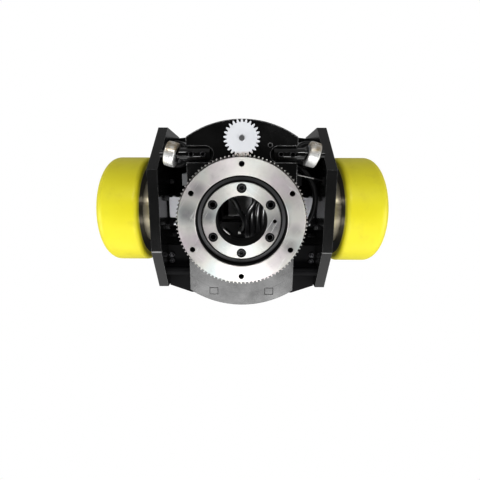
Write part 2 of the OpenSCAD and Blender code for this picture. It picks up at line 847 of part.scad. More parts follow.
module hinge_ears() {
    color("#17181a") both_sides() difference() {
        union() {
            translate([ear_x - ear_t / 2, 0, 0]) rotate([90, 0, 90]) linear_extrude(ear_t) {
                polygon([[ear_rear, carrier_bottom], [ear_front, carrier_bottom],
                    [ear_front, carrier_bottom - ear_foot], [hinge_y + ear_boss_r, hinge_z],
                    [hinge_y - ear_boss_r, hinge_z], [ear_rear, carrier_bottom - ear_foot]]);
                translate([hinge_y, hinge_z]) circle(ear_boss_r);
            }
            for (y = tenon_ys) translate([ear_x - ear_t / 2, y - tenon_w / 2, carrier_bottom - 1])
                cube([ear_t, tenon_w, carrier_t + 1]);
        }
        rod_x(hinge_d / 2 + bush_wall, ear_x - ear_t, ear_x + ear_t, hinge_y, hinge_z);
    }
}

module hinge_bushes() {
    r = hinge_d / 2 + bush_wall;
    color("#b08d4a") both_sides() difference() {
        union() {
            rod_x(r - run_fit, ear_x - ear_t / 2, ear_x + ear_t / 2, hinge_y, hinge_z);
            rod_x(r + bush_lip, ear_x + ear_t / 2, ear_x + ear_t / 2 + bush_flange, hinge_y, hinge_z);
        }
        rod_x(hinge_d / 2 + run_fit, ear_x - ear_t, ear_x + ear_t, hinge_y, hinge_z);
    }
}

module roller_screw_places(side) {
    roller_shaft_place(side) for (x = shaft_screw_xs)
        translate([x, 0, roller_shaft_d / 2 - shaft_flat - shaft_screw_d]) children();
}

module roller_shafts() {
    color("#17181a") for (side = [-1, 1]) difference() {
        roller_shaft_place(side) difference() {
            union() {
                rod_x(roller_shaft_d / 2, shaft_in, tower_x - neck_l);
                rod_x(roller_bore_r, shaft_in, seat_out + near_gap);
                rod_x(shaft_stub, shaft_in, seat_out + stub_l);
            }
            translate([shaft_in - 1, -roller_shaft_d, roller_shaft_d / 2 - shaft_flat])
                cube([carrier_flat - shaft_in, 2 * roller_shaft_d, roller_shaft_d]);
        }
        roller_screw_places(side) {
            screw_hole(shaft_screw_d, roller_shaft_d + 1);
            cylinder(d = shaft_screw_d * head_ratio + counterbore_gap, h = roller_shaft_d);
        }
    }
}

module roller_shaft_screws() {
    color("#8d8f92") for (side = [-1, 1]) roller_screw_places(side)
        socket_screw(shaft_screw_d, roller_shaft_d - shaft_flat - shaft_screw_d + 2);
}

module roller_clips() {
    color("silver") for (side = [-1, 1]) roller_shaft_place(side) difference() {
        rod_x(roller_bore_r + clip_ring_w, seat_out + near_gap, seat_out + near_gap + clip_ring_t);
        rod_x(shaft_stub + run_fit, seat_out, seat_out + stub_l);
    }
}

// The balls that the rollers swivel on
module roller_balls() {
    color("silver") for (side = [-1, 1]) roller_shaft_place(side) translate([tower_x, 0, 0])
        rotate([0, 90, 0]) rotate_extrude() intersection() {
            circle(seat_r);
            ring_profile(roller_bore_r + run_fit, seat_r, -seat_w / 2, seat_w / 2);
        }
}

// A crowned tread with round edges over a ball seat
module roller_profile() {
    r = roller_d / 2;
    half = roller_w / 2;
    difference() {
        intersection() {
            union() {
                ring_profile(0, r - roller_edge, -half, half);
                ring_profile(0, r, roller_edge - half, half - roller_edge);
                for (end = [-1, 1])
                    translate([r - roller_edge, end * (half - roller_edge)]) circle(roller_edge);
            }
            translate([r - crown_r, 0]) circle(crown_r);
        }
        circle(seat_r + run_fit);
    }
}

module roller(side) {
    swivel = side < 0 ? left_swivel : right_swivel;
    color("#dadada") translate([side * tower_x, tower_y, roller_z]) rotate([0, 0, -swivel])
        rotate([0, 90, 0]) rotate_extrude() roller_profile();
}

// Slewing ring

module hole_circle(r) {
    on_circle(r, 360 / hole_step, hole_start) children();
}

module toothed_ring() {
    color("#c9c9c6") difference() {
        union() {
            translate([0, 0, ring_bottom]) linear_extrude(teeth_top - ring_bottom) gear_outline(ring_teeth);
            translate([0, 0, teeth_top - 1]) cylinder(r = ring_face_r, h = face_step + 1 - ring_edge);
            translate([0, 0, ring_top - ring_edge])
                cylinder(r1 = ring_face_r, r2 = ring_face_r - ring_edge, h = ring_edge);
        }
        translate([0, 0, ring_bottom - 1]) cylinder(r = outer_lip_r, h = ring_h);
        translate([0, 0, recess_z]) cylinder(r = recess_r, h = ring_h);
        translate([0, 0, ring_top - ring_edge])
            cylinder(r1 = recess_r, r2 = recess_r + 2 * ring_edge, h = 2 * ring_edge);
        race();
        hole_circle(tapped_circle_r) translate([0, 0, ring_bottom - 1]) cylinder(d = tapped_d, h = ring_h);
    }
}

module race() {
    translate([0, 0, race_z]) rotate_extrude() translate([ball_circle_r, 0]) circle(ball_d / 2 + run_fit);
}

module ring_screw_places() {
    hole_circle(ring_screw_r) translate([0, 0, inner_top - ring_screw_d - counterbore_gap]) children();
}

module inner_ring() {
    color("#d2d2cf") difference() {
        rotate_extrude() {
            ring_profile(bore_r, inner_lip_r, carrier_top, inner_step_z);
            ring_profile(bore_r, inner_face_r, inner_step_z, inner_top - ring_edge);
            polygon([[bore_r, inner_top - ring_edge], [inner_face_r, inner_top - ring_edge],
                [inner_face_r - ring_edge, inner_top], [bore_r, inner_top]]);
        }
        race();
        ring_screw_places() {
            screw_hole(ring_screw_d, inner_top);
            cylinder(d = ring_screw_d * head_ratio + 2 * ring_bore_gap, h = ring_screw_d + 2);
        }
        translate([ring_screw_r, 0, carrier_top - 1]) cylinder(d = dowel_d, h = ring_h);
    }
}

module ring_screws() {
    grip = inner_top - ring_screw_d - carrier_top + ring_screw_bite;
    color("#1b1b1d") ring_screw_places() socket_screw(ring_screw_d, grip);
}

module ring_seal() {
    color("#111112") rotate_extrude() {
        ring_profile(inner_face_r + run_fit, seal_foot_r, inner_step_z, seal_z + seal_t);
        ring_profile(inner_face_r + run_fit, recess_r - near_gap, seal_z, seal_z + seal_t);
    }
}

module ball_cage() {
    color("#d9d4c0") difference() {
        translate([0, 0, race_z - cage_h / 2]) rotate_extrude()
            ring_profile(ball_circle_r - cage_t / 2, ball_circle_r + cage_t / 2, 0, cage_h);
        translate([0, 0, race_z]) on_circle(ball_circle_r, ball_count) rotate([0, 90, 0])
            cylinder(d = ball_d + 2 * run_fit, h = 4 * cage_t, center = true);
    }
}

module bearing_balls() {
    color("silver") translate([0, 0, race_z]) on_circle(ball_circle_r, ball_count) sphere(d = ball_d);
}

// Steering encoder

module encoder_body() {
    color("#1b1b1d") translate([0, pinion_y, 0]) difference() {
        union() {
            translate([0, 0, carrier_bottom - encoder_flange_t])
                cylinder(d = encoder_d, h = encoder_flange_t);
            translate([0, 0, carrier_bottom - encoder_l])
                cylinder(d = encoder_d - 2 * encoder_step, h = encoder_l);
        }
        translate([0, 0, carrier_bottom - encoder_bore_l])
            cylinder(d = pinion_shaft_d + 2 * run_fit, h = encoder_bore_l + 1);
    }
}

module encoder_pinion() {
    bottom = pinion_top - pinion_w;
    color("white") translate([0, pinion_y, 0]) difference() {
        union() {
            translate([0, 0, bottom]) linear_extrude(pinion_w) rotate(90) gear_outline(pinion_teeth);
            translate([0, 0, carrier_top + pinion_hub_gap])
                cylinder(r = pinion_hub_r, h = bottom - carrier_top);
        }
        translate([0, 0, carrier_top]) cylinder(d = pinion_shaft_d + 2 * run_fit, h = ring_h);
    }
}

module pinion_shaft() {
    low = carrier_bottom - encoder_bore_l + seal_lip;
    color("silver") translate([0, pinion_y, low])
        cylinder(d = pinion_shaft_d, h = pinion_top + shaft_end - low);
}

side_plate(-1);  // side_plate_left
side_plate(1);  // side_plate_right
belly_plate();
rear_deck();
frame_screws();
deck_nuts();
gearbox(-1);  // gearbox_left
gearbox(1);  // gearbox_right
gearbox_screws();
motor(-1);  // motor_left
motor(1);  // motor_right
motor_cap(-1);  // motor_cap_left
motor_cap(1);  // motor_cap_right
motor_plugs();
motor_screws();
spring_tower(-1);  // spring_tower_left
spring_tower(1);  // spring_tower_right
tower_caps();
spring(-1);  // spring_left
spring(1);  // spring_right
bump_stops();
hinge_shaft();
hinge_collars();
junction_box();
socket_block();
connector_plugs();
cable_clip();
motor_cable_left();
motor_cable_right();
cable_bundle();
tyre(-1);  // tyre_left
tyre(1);  // tyre_right
rim(-1);  // rim_left
rim(1);  // rim_right
output_flange(-1);  // output_flange_left
output_flange(1);  // output_flange_right
wheel_bolts(-1);  // wheel_bolts_left
wheel_bolts(1);  // wheel_bolts_right
hub_cap(-1);  // hub_cap_left
hub_cap(1);  // hub_cap_right
carrier_plate();
hinge_ears();
hinge_bushes();
inner_ring();
ring_screws();
ring_seal();
encoder_body();
roller_shafts();
roller_shaft_screws();
roller_clips();
roller_balls();
toothed_ring();
ball_cage();
bearing_balls();
encoder_pinion();
pinion_shaft();
roller(-1);  // roller_left
roller(1);  // roller_right
plunger(-1);  // plunger_left
plunger(1);  // plunger_right
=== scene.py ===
# %% [markdown]
# # The drive wheel unit of a driverless truck
# The unit has two geared wheels on a sprung chassis, and the truck rests on the toothed slewing ring at
# its top. The solids come from the packed frame and are never moved. This lesson gives each of them the
# finish of the real part, and adds the pieces that are better made here: screws with knurled heads, round
# cables, coil springs and labels.

# %% Load the fixed frame
import json
import math

import bmesh
import bpy
from mathutils import Matrix, Vector


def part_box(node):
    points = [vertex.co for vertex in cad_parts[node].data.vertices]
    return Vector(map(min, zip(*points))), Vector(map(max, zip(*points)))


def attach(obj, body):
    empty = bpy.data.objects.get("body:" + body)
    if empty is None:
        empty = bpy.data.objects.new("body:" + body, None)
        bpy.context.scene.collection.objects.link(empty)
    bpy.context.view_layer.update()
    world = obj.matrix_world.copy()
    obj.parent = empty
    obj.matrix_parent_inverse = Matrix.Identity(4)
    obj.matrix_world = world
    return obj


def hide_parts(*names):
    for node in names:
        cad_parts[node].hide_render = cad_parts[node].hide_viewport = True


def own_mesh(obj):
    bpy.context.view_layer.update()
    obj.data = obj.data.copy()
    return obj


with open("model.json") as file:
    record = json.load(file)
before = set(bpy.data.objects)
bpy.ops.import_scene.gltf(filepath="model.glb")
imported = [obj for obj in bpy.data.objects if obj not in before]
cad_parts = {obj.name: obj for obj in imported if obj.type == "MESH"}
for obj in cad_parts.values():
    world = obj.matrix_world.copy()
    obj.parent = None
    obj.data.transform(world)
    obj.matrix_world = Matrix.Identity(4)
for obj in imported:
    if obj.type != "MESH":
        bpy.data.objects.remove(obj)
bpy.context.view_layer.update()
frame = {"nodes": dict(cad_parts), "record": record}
nodes = frame["nodes"]
MM = 0.001

# %% [markdown]
# ## The camera
# The photograph looks down on the ring from a little less than half a metre away, and slightly from the
# pinion's side. The camera's place, tilt and focal length were fitted to the edges and hole circles of the
# ring, the edge of the carrier plate and the tyres. The optical centre came out above the middle of the
# frame, as in a picture that was cropped, and the camera's shift stands for that.

# %% Camera
IMAGE_PX = 480
FOCAL_PX = 284.61
CENTRE_ROW_PX = 213.53
SENSOR_MM = 36
EYE = Vector((2.12, 96.15, 641.58)) * MM
TILT = math.radians(11.02)
LEAN = math.radians(0.59)
ROLL = math.radians(-0.27)
NEAREST = 10 * MM

level_right = Vector((1, 0, 0))
level_down = Vector((0, -math.cos(TILT), math.sin(TILT)))
level_ahead = Vector((0, -math.sin(TILT), -math.cos(TILT)))
leaned_right = level_right * math.cos(LEAN) + level_ahead * math.sin(LEAN)
ahead = level_ahead * math.cos(LEAN) - level_right * math.sin(LEAN)
right = leaned_right * math.cos(ROLL) + level_down * math.sin(ROLL)
down = level_down * math.cos(ROLL) - leaned_right * math.sin(ROLL)

camera_data = bpy.data.cameras.new("camera")
camera_data.sensor_width = SENSOR_MM
camera_data.lens = SENSOR_MM * FOCAL_PX / IMAGE_PX
camera_data.shift_y = (CENTRE_ROW_PX - IMAGE_PX / 2) / IMAGE_PX
camera_data.clip_start = NEAREST
camera = bpy.data.objects.new("camera", camera_data)
axes = Matrix((right, -down, -ahead)).transposed()
camera.matrix_world = Matrix.Translation(EYE) @ axes.to_4x4()
scene = bpy.context.scene
scene.collection.objects.link(camera)
scene.camera = camera
print("lens:", round(camera_data.lens, 2), "mm, shift:", round(camera_data.shift_y, 4))

# %% [markdown]
# ## Shader maths
# A finish is a small network of shader nodes. Wiring them by hand takes many lines, so this class wraps a
# node's output and lets plain Python signs add the Math nodes.

# %% Level
class Level:
    """A node's output that takes part in Python arithmetic."""

    def __init__(self, finish, output):
        self.finish = finish
        self.output = output

    def maths(self, operation, first, second=0.0):
        return self.finish.node("ShaderNodeMath", {"operation": operation}, {0: first, 1: second})

    def __add__(self, other):
        return self.maths("ADD", self, other)

    def __radd__(self, other):
        return self.maths("ADD", other, self)

    def __sub__(self, other):
        return self.maths("SUBTRACT", self, other)

    def __rsub__(self, other):
        return self.maths("SUBTRACT", other, self)

    def __mul__(self, other):
        return self.maths("MULTIPLY", self, other)

    def __truediv__(self, other):
        return self.maths("DIVIDE", self, other)

    def __abs__(self):
        return self.maths("ABSOLUTE", self)

    def above(self, other):
        return self.maths("MAXIMUM", self, other)


print("a level takes + - * / and abs, and its higher value is above")

# %% [markdown]
# ## A finish under construction
# One method makes any other node from its type, its settings and the values or links of its sockets. The
# rest are patterns that the finishes of a machine share: a place on the part, a step at a radius or a
# height, patches of noise, the marks of a tool and a mix of two colours. They read Object coordinates, so
# no piece has to be unwrapped.

# %% Finish
def colour(red, green, blue):
    return (red, green, blue, 1)


def grey(level):
    return colour(level, level, level)


class Finish:
    """A material under construction."""

    def __init__(self, name, **fixed):
        self.material = bpy.data.materials.new(name)
        self.material.use_nodes = True
        self.tree = self.material.node_tree
        self.shader = self.tree.nodes["Principled BSDF"]
        for socket, value in fixed.items():
            self.set(socket.replace("_", " ").title().replace("Ior", "IOR"), value)

    def node(self, kind, settings=None, inputs=None, output=0):
        made = self.tree.nodes.new(kind)
        for key, value in (settings or {}).items():
            if key == "stops":
                for k, (place, level) in enumerate(value):
                    stop = made.color_ramp.elements[k] if k < 2 else made.color_ramp.elements.new(place)
                    stop.position = place
                    stop.color = level if isinstance(level, tuple) else grey(level)
            else:
                setattr(made, key, value)
        for socket, value in (inputs or {}).items():
            self.feed(made.inputs[socket], value)
        return Level(self, made.outputs[output])

    def feed(self, socket, value):
        if isinstance(value, Level):
            self.tree.links.new(value.output, socket)
        else:
            socket.default_value = value

    def set(self, socket, value):
        self.feed(self.shader.inputs[socket], value)

    def place(self, centre=(0, 0, 0), scale=(1, 1, 1)):
        """Object coordinates, measured from a centre and stretched."""
        point = self.node("ShaderNodeTexCoord", output="Object")
        shift = tuple(-c * s for c, s in zip(centre, scale))
        return self.node("ShaderNodeMapping", None, {"Vector": point, "Location": shift, "Scale": scale})

    def along(self, place, axis="Z"):
        """One coordinate of a place."""
        return self.node("ShaderNodeSeparateXYZ", None, {0: place}, output=axis)

    def vector_maths(self, operation, first, second=(0, 0, 0), output=0):
        return self.node("ShaderNodeVectorMath", {"operation": operation}, {0: first, 1: second}, output)

    def flat(self, place):
        """A place with its height taken out."""
        return self.vector_maths("MULTIPLY", place, (1, 1, 0))

    def radius(self, place):
        """Distance of a place from the Z axis."""
        return self.vector_maths("LENGTH", self.flat(place), output="Value")

    def ramp(self, level, *stops):
        return self.node("ShaderNodeValToRGB", {"stops": stops}, {"Fac": level})

    def step(self, level, start, end):
        """Zero before a start and one after an end, which may be the lower of the two."""
        return self.ramp((level - start) / (end - start), (0.0, 0.0), (1.0, 1.0))

    def noise(self, scale, detail=3.0, place=None, rough=0.55):
        return self.node("ShaderNodeTexNoise", None, {
            "Vector": place or self.place(), "Scale": scale, "Detail": detail, "Roughness": rough})

    def patches(self, scale, detail, low, high, least=0.0, rough=0.55, place=None):
        """Noise that is cut at two levels: least below the low one, and one above the high one."""
        return self.ramp(self.noise(scale, detail, place, rough), (low, least), (high, 1.0))

    def marks(self, measure, detail, across=0.0):
        """Noise that changes along one measure, as the marks of a tool do."""
        return self.noise(1.0, detail, self.node("ShaderNodeCombineXYZ", None, {0: measure, 1: across}))

    def blend(self, share, first, second):
        """Mixes two colours."""
        return self.node("ShaderNodeMix", {"data_type": "RGBA"}, {0: share, 6: first, 7: second}, output=2)

    def bump(self, height, distance, strength):
        self.set("Normal", self.node("ShaderNodeBump", None, {
            "Height": height, "Distance": distance, "Strength": strength}))


finishes = {}
print("patterns:", [name for name in vars(Finish) if not name.startswith("_")])

# %% [markdown]
# ## Cast polyurethane
# The tread is cast in an open mould and then turned, so it is smooth and slightly cloudy. Floor dust
# makes faint dull patches on it. An image would need a seam somewhere on the tyre, so two sizes of noise in
# Object coordinates give the cloud and the dust, and a little bump breaks the reflection.

# %% Tyre finish
def cast_polyurethane():
    f = Finish("cast_polyurethane", specular_ior_level=0.45)
    cloud = f.noise(16, 2)
    dust = f.patches(38, 5, 0.55, 0.78, rough=0.65)
    clean = f.blend(cloud, colour(0.72, 0.63, 0.022), colour(0.78, 0.73, 0.04))
    f.set("Base Color", f.blend(dust * 0.16, clean, colour(0.42, 0.34, 0.06)))
    f.set("Roughness", 0.34 + dust * 0.14 + cloud * 0.06)
    f.bump(f.noise(420, 3), 0.12 * MM, 0.35)
    return f.material


finishes["tyre_polyurethane"] = cast_polyurethane()
print("tyre finish:", finishes["tyre_polyurethane"].name)

# %% [markdown]
# ## Black anodised aluminium
# Anodising leaves the plate's own milled surface, dyed black. It is satin, its corners wear through to
# grey and it holds a little dust. The Bevel node rounds the normals near an edge, and where they differ
# from the flat ones the surface is near a corner, which makes a mask for the wear. The carrier and the
# side plates add painted highlights to that mask, on the carrier's front edges and along the side plates'
# bends, so each hands over a short function that changes the mask.

# %% Black plate finish
CARRIER_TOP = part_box("carrier_plate")[1].z
REAR_BEND_Y = -60.5 * MM
BEND_HIGHLIGHT_Z = 178 * MM


def near_edge(f, reach):
    """One at a corner of the mesh and zero on its flats."""
    rounded = f.node("ShaderNodeBevel", {"samples": 4}, {"Radius": reach})
    flat = f.node("ShaderNodeNewGeometry", output="True Normal")
    same = f.vector_maths("DOT_PRODUCT", rounded, flat, output="Value")
    return f.ramp(1 - same, (0.01, 0.0), (0.14, 1.0))


def black_plate(name, even, uneven, gloss=0.4, wear=0.8, reach=0.9 * MM, tone=1.0, bare=0.34, special=None):
    f = Finish(name, specular_ior_level=gloss, coat_roughness=0.14)
    cloud = f.noise(30, 4)
    blotch = f.patches(17, 6, 0.28, 0.74, rough=0.6)
    speck = f.patches(900, 2, 0.70, 0.76)
    worn_and_highlit = near_edge(f, reach) * f.patches(70, 4, 0.30, 0.62, least=0.15) * wear
    plain = f.blend(cloud, grey(0.003 * tone), grey(0.007 * tone))
    dusty = f.blend(speck * 0.25, plain, grey(0.10))
    matte = even + blotch * uneven
    if special:
        worn_and_highlit, matte = special(f, worn_and_highlit, matte)
    f.set("Base Color", f.blend(worn_and_highlit, dusty, grey(bare)))
    f.set("Roughness", matte)
    f.bump(f.noise(1500, 2) + blotch * uneven * 6, 0.04 * MM, 0.25)
    return f.material


def front_wear_and_highlights(f, worn_and_highlit, matte):
    """An oily film with turned arcs. Edges on the pinion's half are light with wear and painted highlight,
    and recesses are matt.
    """
    place = f.place()
    sunk = f.step(CARRIER_TOP - f.along(place), 0.24 * MM, 0.44 * MM)
    film = f.patches(15, 8, 0.34, 0.64, rough=0.7)
    turned = f.ramp(f.marks(f.radius(place) * 260, 2), (0.56, 0.0), (0.64, 1.0))
    arcs = turned * f.patches(20, 3, 0.42, 0.55)
    f.set("Coat Weight", (0.2 + film * 0.8) * (1 - arcs * 0.6) * (1 - sunk))
    # Painted highlight: the light edge mask keeps its full strength only on the pinion's half.
    front = 0.08 + f.step(f.along(place, "Y"), 20 * MM, 80 * MM) * 0.92
    return worn_and_highlit * front, matte + sunk * 0.4


def painted_bend_highlight(f, worn_and_highlit, matte):
    """A painted highlight: a ragged light line where the top edge of a side plate bends down to the rear,
    wider on the left plate.
    """
    place = f.place()
    left = f.step(f.along(place, "X"), 0.5 * MM, -0.5 * MM)
    reach = (0.3 + left * 0.9 + f.noise(160, 3) * 0.6) * MM
    # Painted highlight: a thin light line along the bend, where the bend mirrors the lamp.
    line = f.step(reach - abs(f.along(place, "Y") - REAR_BEND_Y), -0.13 * MM, 0.13 * MM)
    upper = f.step(f.along(place), BEND_HIGHLIGHT_Z - 0.4 * MM, BEND_HIGHLIGHT_Z + 0.4 * MM)
    return worn_and_highlit.above(line * upper * 0.8), matte


finishes["black_anodised"] = black_plate("black_anodised", 0.17, 0.08)
carrier_finish = black_plate("uneven_black_anodised", 0.12, 0.24, gloss=0.66, wear=1.0, reach=1.6 * MM,
                             bare=0.8, special=front_wear_and_highlights)
side_plate_finish = black_plate("rubbed_black_anodised_with_painted_highlight", 0.17, 0.08, gloss=0.66, tone=2.2,
                                special=painted_bend_highlight)
print("carrier's top at", round(CARRIER_TOP / MM, 1), "mm")

# %% [markdown]
# ## Bare metal
# The bare aluminium is milled, and the zinc plated screws, dull nuts and springs are drawn or turned. All
# of them keep fine straight lines. A noise that is stretched along one axis makes lines of uneven length,
# where a Wave texture would repeat.

# %% Bare metal finishes
def milled(name, light, dark, rough):
    f = Finish(name, metallic=1.0)
    lines = f.noise(60, 4, f.place(scale=(1, 14, 1)))
    f.set("Base Color", f.blend(f.noise(24, 4), colour(*dark), colour(*light)))
    f.set("Roughness", rough + lines * 0.16)
    f.bump(lines, 0.08 * MM, 0.4)
    return f.material


finishes["bare_aluminium"] = milled("bare_aluminium", (0.62, 0.63, 0.64), (0.48, 0.49, 0.50), 0.30)
finishes["zinc_steel"] = milled("zinc_steel", (0.66, 0.67, 0.68), (0.50, 0.51, 0.53), 0.22)
finishes["spring_steel"] = milled("spring_steel", (0.34, 0.35, 0.36), (0.22, 0.22, 0.23), 0.30)
nut_finish = milled("dull_nuts", (0.20, 0.20, 0.21), (0.10, 0.10, 0.105), 0.24)
print("finishes so far:", len(finishes))

# %% [markdown]
# ## Turned ring steel
# Both rings are turned on a lathe. Round tool marks spread a reflection across them, which anisotropy
# copies, so the ring shows light and dark sectors, and round patches of painted shade deepen some dark
# sectors. Handling leaves grey stains and thin scratches, brown grease sits between the teeth, and the
# bore and the holes are black with oil and painted shade. Masks by place, radius and height say where
# each of these is, in the ring's own coordinates, so they turn with it.

# %% Ring finish
RING_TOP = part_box("toothed_ring")[1].z
INNER_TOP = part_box("inner_ring")[1].z
TEETH_TOP = 213.5 * MM
TEETH_FOOT_R = 99.5 * MM
# Radii where the ring's flat face goes over to the teeth
FACE_EDGE_R = (98.14 * MM, 98.71 * MM)
BETWEEN_R = 62 * MM
BORE_R = 40 * MM
# Middle and reach of the round patches of painted shade, in millimetres, and how dark they are
PAINTED_SHADE_SPOTS = ((-65, 50, 15, 0.65), (-85, 14, 22, 0.9), (75, -38, 15, 0.6), (82, -12, 14, 0.45),
           (52, -6, 27, 1.0), (-52, 8, 17, 0.9))
# Directions of the scratches, in radians
SCRATCH_TURNS = (0.9, -0.5)


def spot(f, place, x, y, reach, depth):
    """A depth in the middle of a round place, and zero around it."""
    middle = (x * MM, y * MM, 0)
    away = f.vector_maths("DISTANCE", f.flat(place), middle, output="Value")
    return f.ramp(away / (reach * MM), (0.25, depth), (1.0, 0.0))


def scratches(f, turn):
    """Thin straight marks in one direction, a few centimetres long."""
    turned = f.node("ShaderNodeMapping", {"vector_type": "TEXTURE"}, {
        "Vector": f.place(), "Rotation": (0, 0, turn), "Scale": (1, 14, 1)})
    return f.patches(330, 2, 0.645, 0.69, place=turned)


def highest(levels):
    """The highest of several levels, point by point."""
    top = levels[0]
    for level in levels[1:]:
        top = top.above(level)
    return top


def ring_colour_with_painted_shade(f, place, marks, scuff):
    """The colour of turned steel with its stains, scratches and round patches of painted shade."""
    stain = f.patches(19, 5, 0.50, 0.72, rough=0.62)
    painted_shade = highest([spot(f, place, *where) for where in PAINTED_SHADE_SPOTS])
    scratch = highest([scratches(f, turn) for turn in SCRATCH_TURNS])
    tint = f.ramp(f.noise(14, 2), (0.3, colour(0.62, 0.68, 0.68)), (0.5, colour(0.71, 0.70, 0.66)),
                  (0.7, colour(0.72, 0.65, 0.68)))
    turned = f.blend(marks * 0.22, tint, colour(0.42, 0.42, 0.43))
    # Grey stains, and round patches of painted shade that deepen the dim sectors of the reflection.
    stained = f.blend(stain * 0.2 + painted_shade * (0.72 + scuff * 0.28), turned, colour(0.17, 0.17, 0.185))
    scuffed = f.blend(scuff * 0.16, stained, colour(0.24, 0.23, 0.22))
    patch = f.patches(26, 3, 0.46, 0.58).above(painted_shade)
    return f.blend(scratch * patch * 0.6, scuffed, colour(0.86, 0.86, 0.85))


def grease_oil_and_shade(f, place, radius):
    """Masks of the grease between the teeth, and of the oil and painted shade in the bore and the holes."""
    toothed = f.step(radius, *FACE_EDGE_R)
    flank = f.step(TEETH_TOP - f.along(place), 0.24 * MM, 0.44 * MM)
    foot = f.step(radius, TEETH_FOOT_R + 0.2 * MM, TEETH_FOOT_R - 0.2 * MM)
    grease = toothed * (0.12 + flank.above(foot) * 0.88) * f.patches(110, 3, 0.30, 0.60, least=0.6)
    outer = f.step(radius, BETWEEN_R - 0.05 * MM, BETWEEN_R + 0.05 * MM)
    face = INNER_TOP + outer * (RING_TOP - INNER_TOP)
    # Oil and painted shade: recesses deeper than the face, and the bore, are made nearly black.
    recess_shade = f.step(face - f.along(place), 1.25 * MM, 1.5 * MM) * (1 - toothed)
    bore = f.step(radius, BORE_R + 0.275 * MM, BORE_R + 0.15 * MM)
    return grease, bore.above(recess_shade)


def turned_ring_steel():
    f = Finish("turned_ring_steel", metallic=0.90, anisotropic=0.85, anisotropic_rotation=0.25)
    place = f.place()
    radius = f.radius(place)
    marks = f.marks(radius * 900, 3)
    scuff = f.patches(75, 6, 0.56, 0.74, rough=0.7)
    grease, oil_and_shade = grease_oil_and_shade(f, place, radius)
    # The bore and the holes are blackened by oil and painted shade.
    oiled_and_shaded = f.blend(oil_and_shade * 0.95, ring_colour_with_painted_shade(f, place, marks, scuff), grey(0.01))
    f.set("Base Color", f.blend(grease * 0.96, oiled_and_shaded, colour(0.035, 0.018, 0.010)))
    f.set("Roughness", 0.34 + marks * 0.12 + scuff * 0.12)
    f.bump(marks, 0.03 * MM, 0.5)
    return f.material


finishes["ring_steel"] = turned_ring_steel()
print("handled places on the ring:", len(PAINTED_SHADE_SPOTS))

# %% [markdown]
# ## Turned gearbox drum
# The drum is turned about the wheel axle, so its tool marks are rings around that axle. A noise that reads
# only the place along X gives the same rings without any unwrapping.

# %% Gearbox finish
def turned_drum():
    f = Finish("turned_drum", metallic=0.65)
    marks = f.marks(f.along(f.place(), "X") * 1400, 4)
    # The warm gold tint is a painted reflection of the yellow tyres.
    f.set("Base Color", f.blend(f.noise(26, 4), colour(0.78, 0.69, 0.50), colour(0.90, 0.84, 0.68)))
    f.set("Roughness", 0.16 + marks * 0.14)
    f.bump(marks, 0.03 * MM, 0.5)
    return f.material


finishes["gearbox_steel"] = turned_drum()
print("drum finish:", finishes["gearbox_steel"].name)

# %% [markdown]
# ## Dark screws, paint, plastics, rubber and bronze
# These finishes differ in little more than colour, gloss and grain, so one function makes them all. A
# ground shaft is one of them too: it is blacker and more of a mirror than a screw.

# %% Grained finishes
def grained(name, dark, light, rough, grain, depth, metallic=0.0, wear=0.0, gloss=0.5, spread=0.14):
    f = Finish(name, metallic=metallic, specular_ior_level=gloss)
    cloud = f.noise(45, 4)
    plain = f.blend(cloud, colour(*dark), colour(*light))
    if wear:
        # Light edges, partly wear and partly painted highlight.
        edge = near_edge(f, 0.5 * MM) * f.patches(120, 3, 0.30, 0.58, least=0.2)
        plain = f.blend(edge * wear, plain, colour(0.50, 0.50, 0.51))
    f.set("Base Color", plain)
    f.set("Roughness", rough + cloud * spread)
    f.bump(f.noise(grain, 3), depth * MM, 0.5)
    return f.material


# Darkest and lightest colour, roughness, grains per metre, their depth in millimetres, other settings
GRAINED = {
    "black_oxide": ((0.006, 0.006, 0.007), (0.016, 0.016, 0.017), 0.24, 900, 0.03,
                    {"wear": 0.9, "gloss": 0.25}),
    "motor_paint": ((0.003, 0.003, 0.004), (0.007, 0.007, 0.008), 0.44, 1300, 0.08, {"gloss": 0.15}),
    "black_plastic": ((0.003, 0.003, 0.003), (0.007, 0.007, 0.007), 0.46, 1600, 0.1, {"gloss": 0.18}),
    "cable_jacket": ((0.004, 0.004, 0.004), (0.009, 0.009, 0.010), 0.24, 700, 0.05, {}),
    "seal_rubber": ((0.003, 0.003, 0.003), (0.006, 0.006, 0.006), 0.40, 800, 0.06, {"gloss": 0.2}),
    "white_plastic": ((0.70, 0.70, 0.67), (0.80, 0.80, 0.78), 0.30, 900, 0.04, {}),
    "cage_plastic": ((0.58, 0.54, 0.42), (0.68, 0.64, 0.52), 0.40, 900, 0.04, {}),
    "bronze": ((0.42, 0.26, 0.10), (0.58, 0.40, 0.18), 0.26, 1400, 0.05, {"metallic": 1.0}),
}
for slot, (*settings, more) in GRAINED.items():
    finishes[slot] = grained(slot, *settings, **more)
ground_finish = grained("ground_black", (0.002, 0.002, 0.002), (0.005, 0.005, 0.005), 0.04, 900, 0.01,
                        gloss=1.0, spread=0.05)
print("grained finishes:", len(GRAINED) + 1)

# %% [markdown]
# ## Finishes that change along a part
# The seal's rubber is pressed into a steel case, which shows as a grey band; the band is lighter towards
# the sides, a painted reflection. The clip's arm is black near its foot. The belly plate is black around
# a pale pad under the bore, partly bare metal and partly a painted pool of light, and the right one of
# the two stop posts is dark. A second material on some faces would stop at the edges of triangles, so a
# mask in the one material parts the two finishes.

# %% Changing finishes
SEAL_CASE_R = (64.0 * MM, 68.5 * MM)
CLIP_BLACK_X = 118 * MM
PAINTED_LIGHT_PAD_X = (-30 * MM, 40 * MM)
PAINTED_LIGHT_PAD_Y = (-30 * MM, 30 * MM)
PAINTED_LIGHT_PAD_SOFT = 2 * MM


